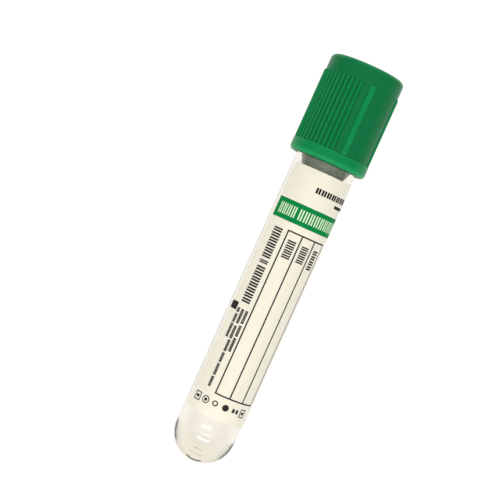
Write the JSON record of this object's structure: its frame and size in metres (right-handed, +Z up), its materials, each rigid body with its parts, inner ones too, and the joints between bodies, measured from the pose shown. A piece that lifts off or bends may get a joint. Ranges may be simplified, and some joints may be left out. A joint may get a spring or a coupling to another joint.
{
  "type": "blood collection tube",
  "caption": "Round-bottomed clear tube with a wrapped label, a green ribbed pull-off cap and a rubber stopper inside it.",
  "frame": {"origin": "centre of the bounding box's underside: the ground that the lying tube rests on", "axes": "+X along the tube towards the cap (the tube's axis itself rises 1.75 degrees), +Z up, which is the label's printed front, +Y across"},
  "size_m": [0.0878, 0.0164, 0.0169],
  "materials": {
    "clear_pet": "gloss",
    "label_film": "satin",
    "green_plastic": "satin",
    "grey_rubber": "matte"
  },
  "bodies": {
    "tube": {"tube": "clear_pet", "label": "label_film"},
    "cap": {"cap": "green_plastic", "stopper": "grey_rubber"}
  },
  "joints": [
    {"name": "cap_pull", "type": "slide", "parent": "tube", "child": "cap", "axis": [0.9995, 0, 0.0305], "range_m": [0, 0.025]}
  ]
}
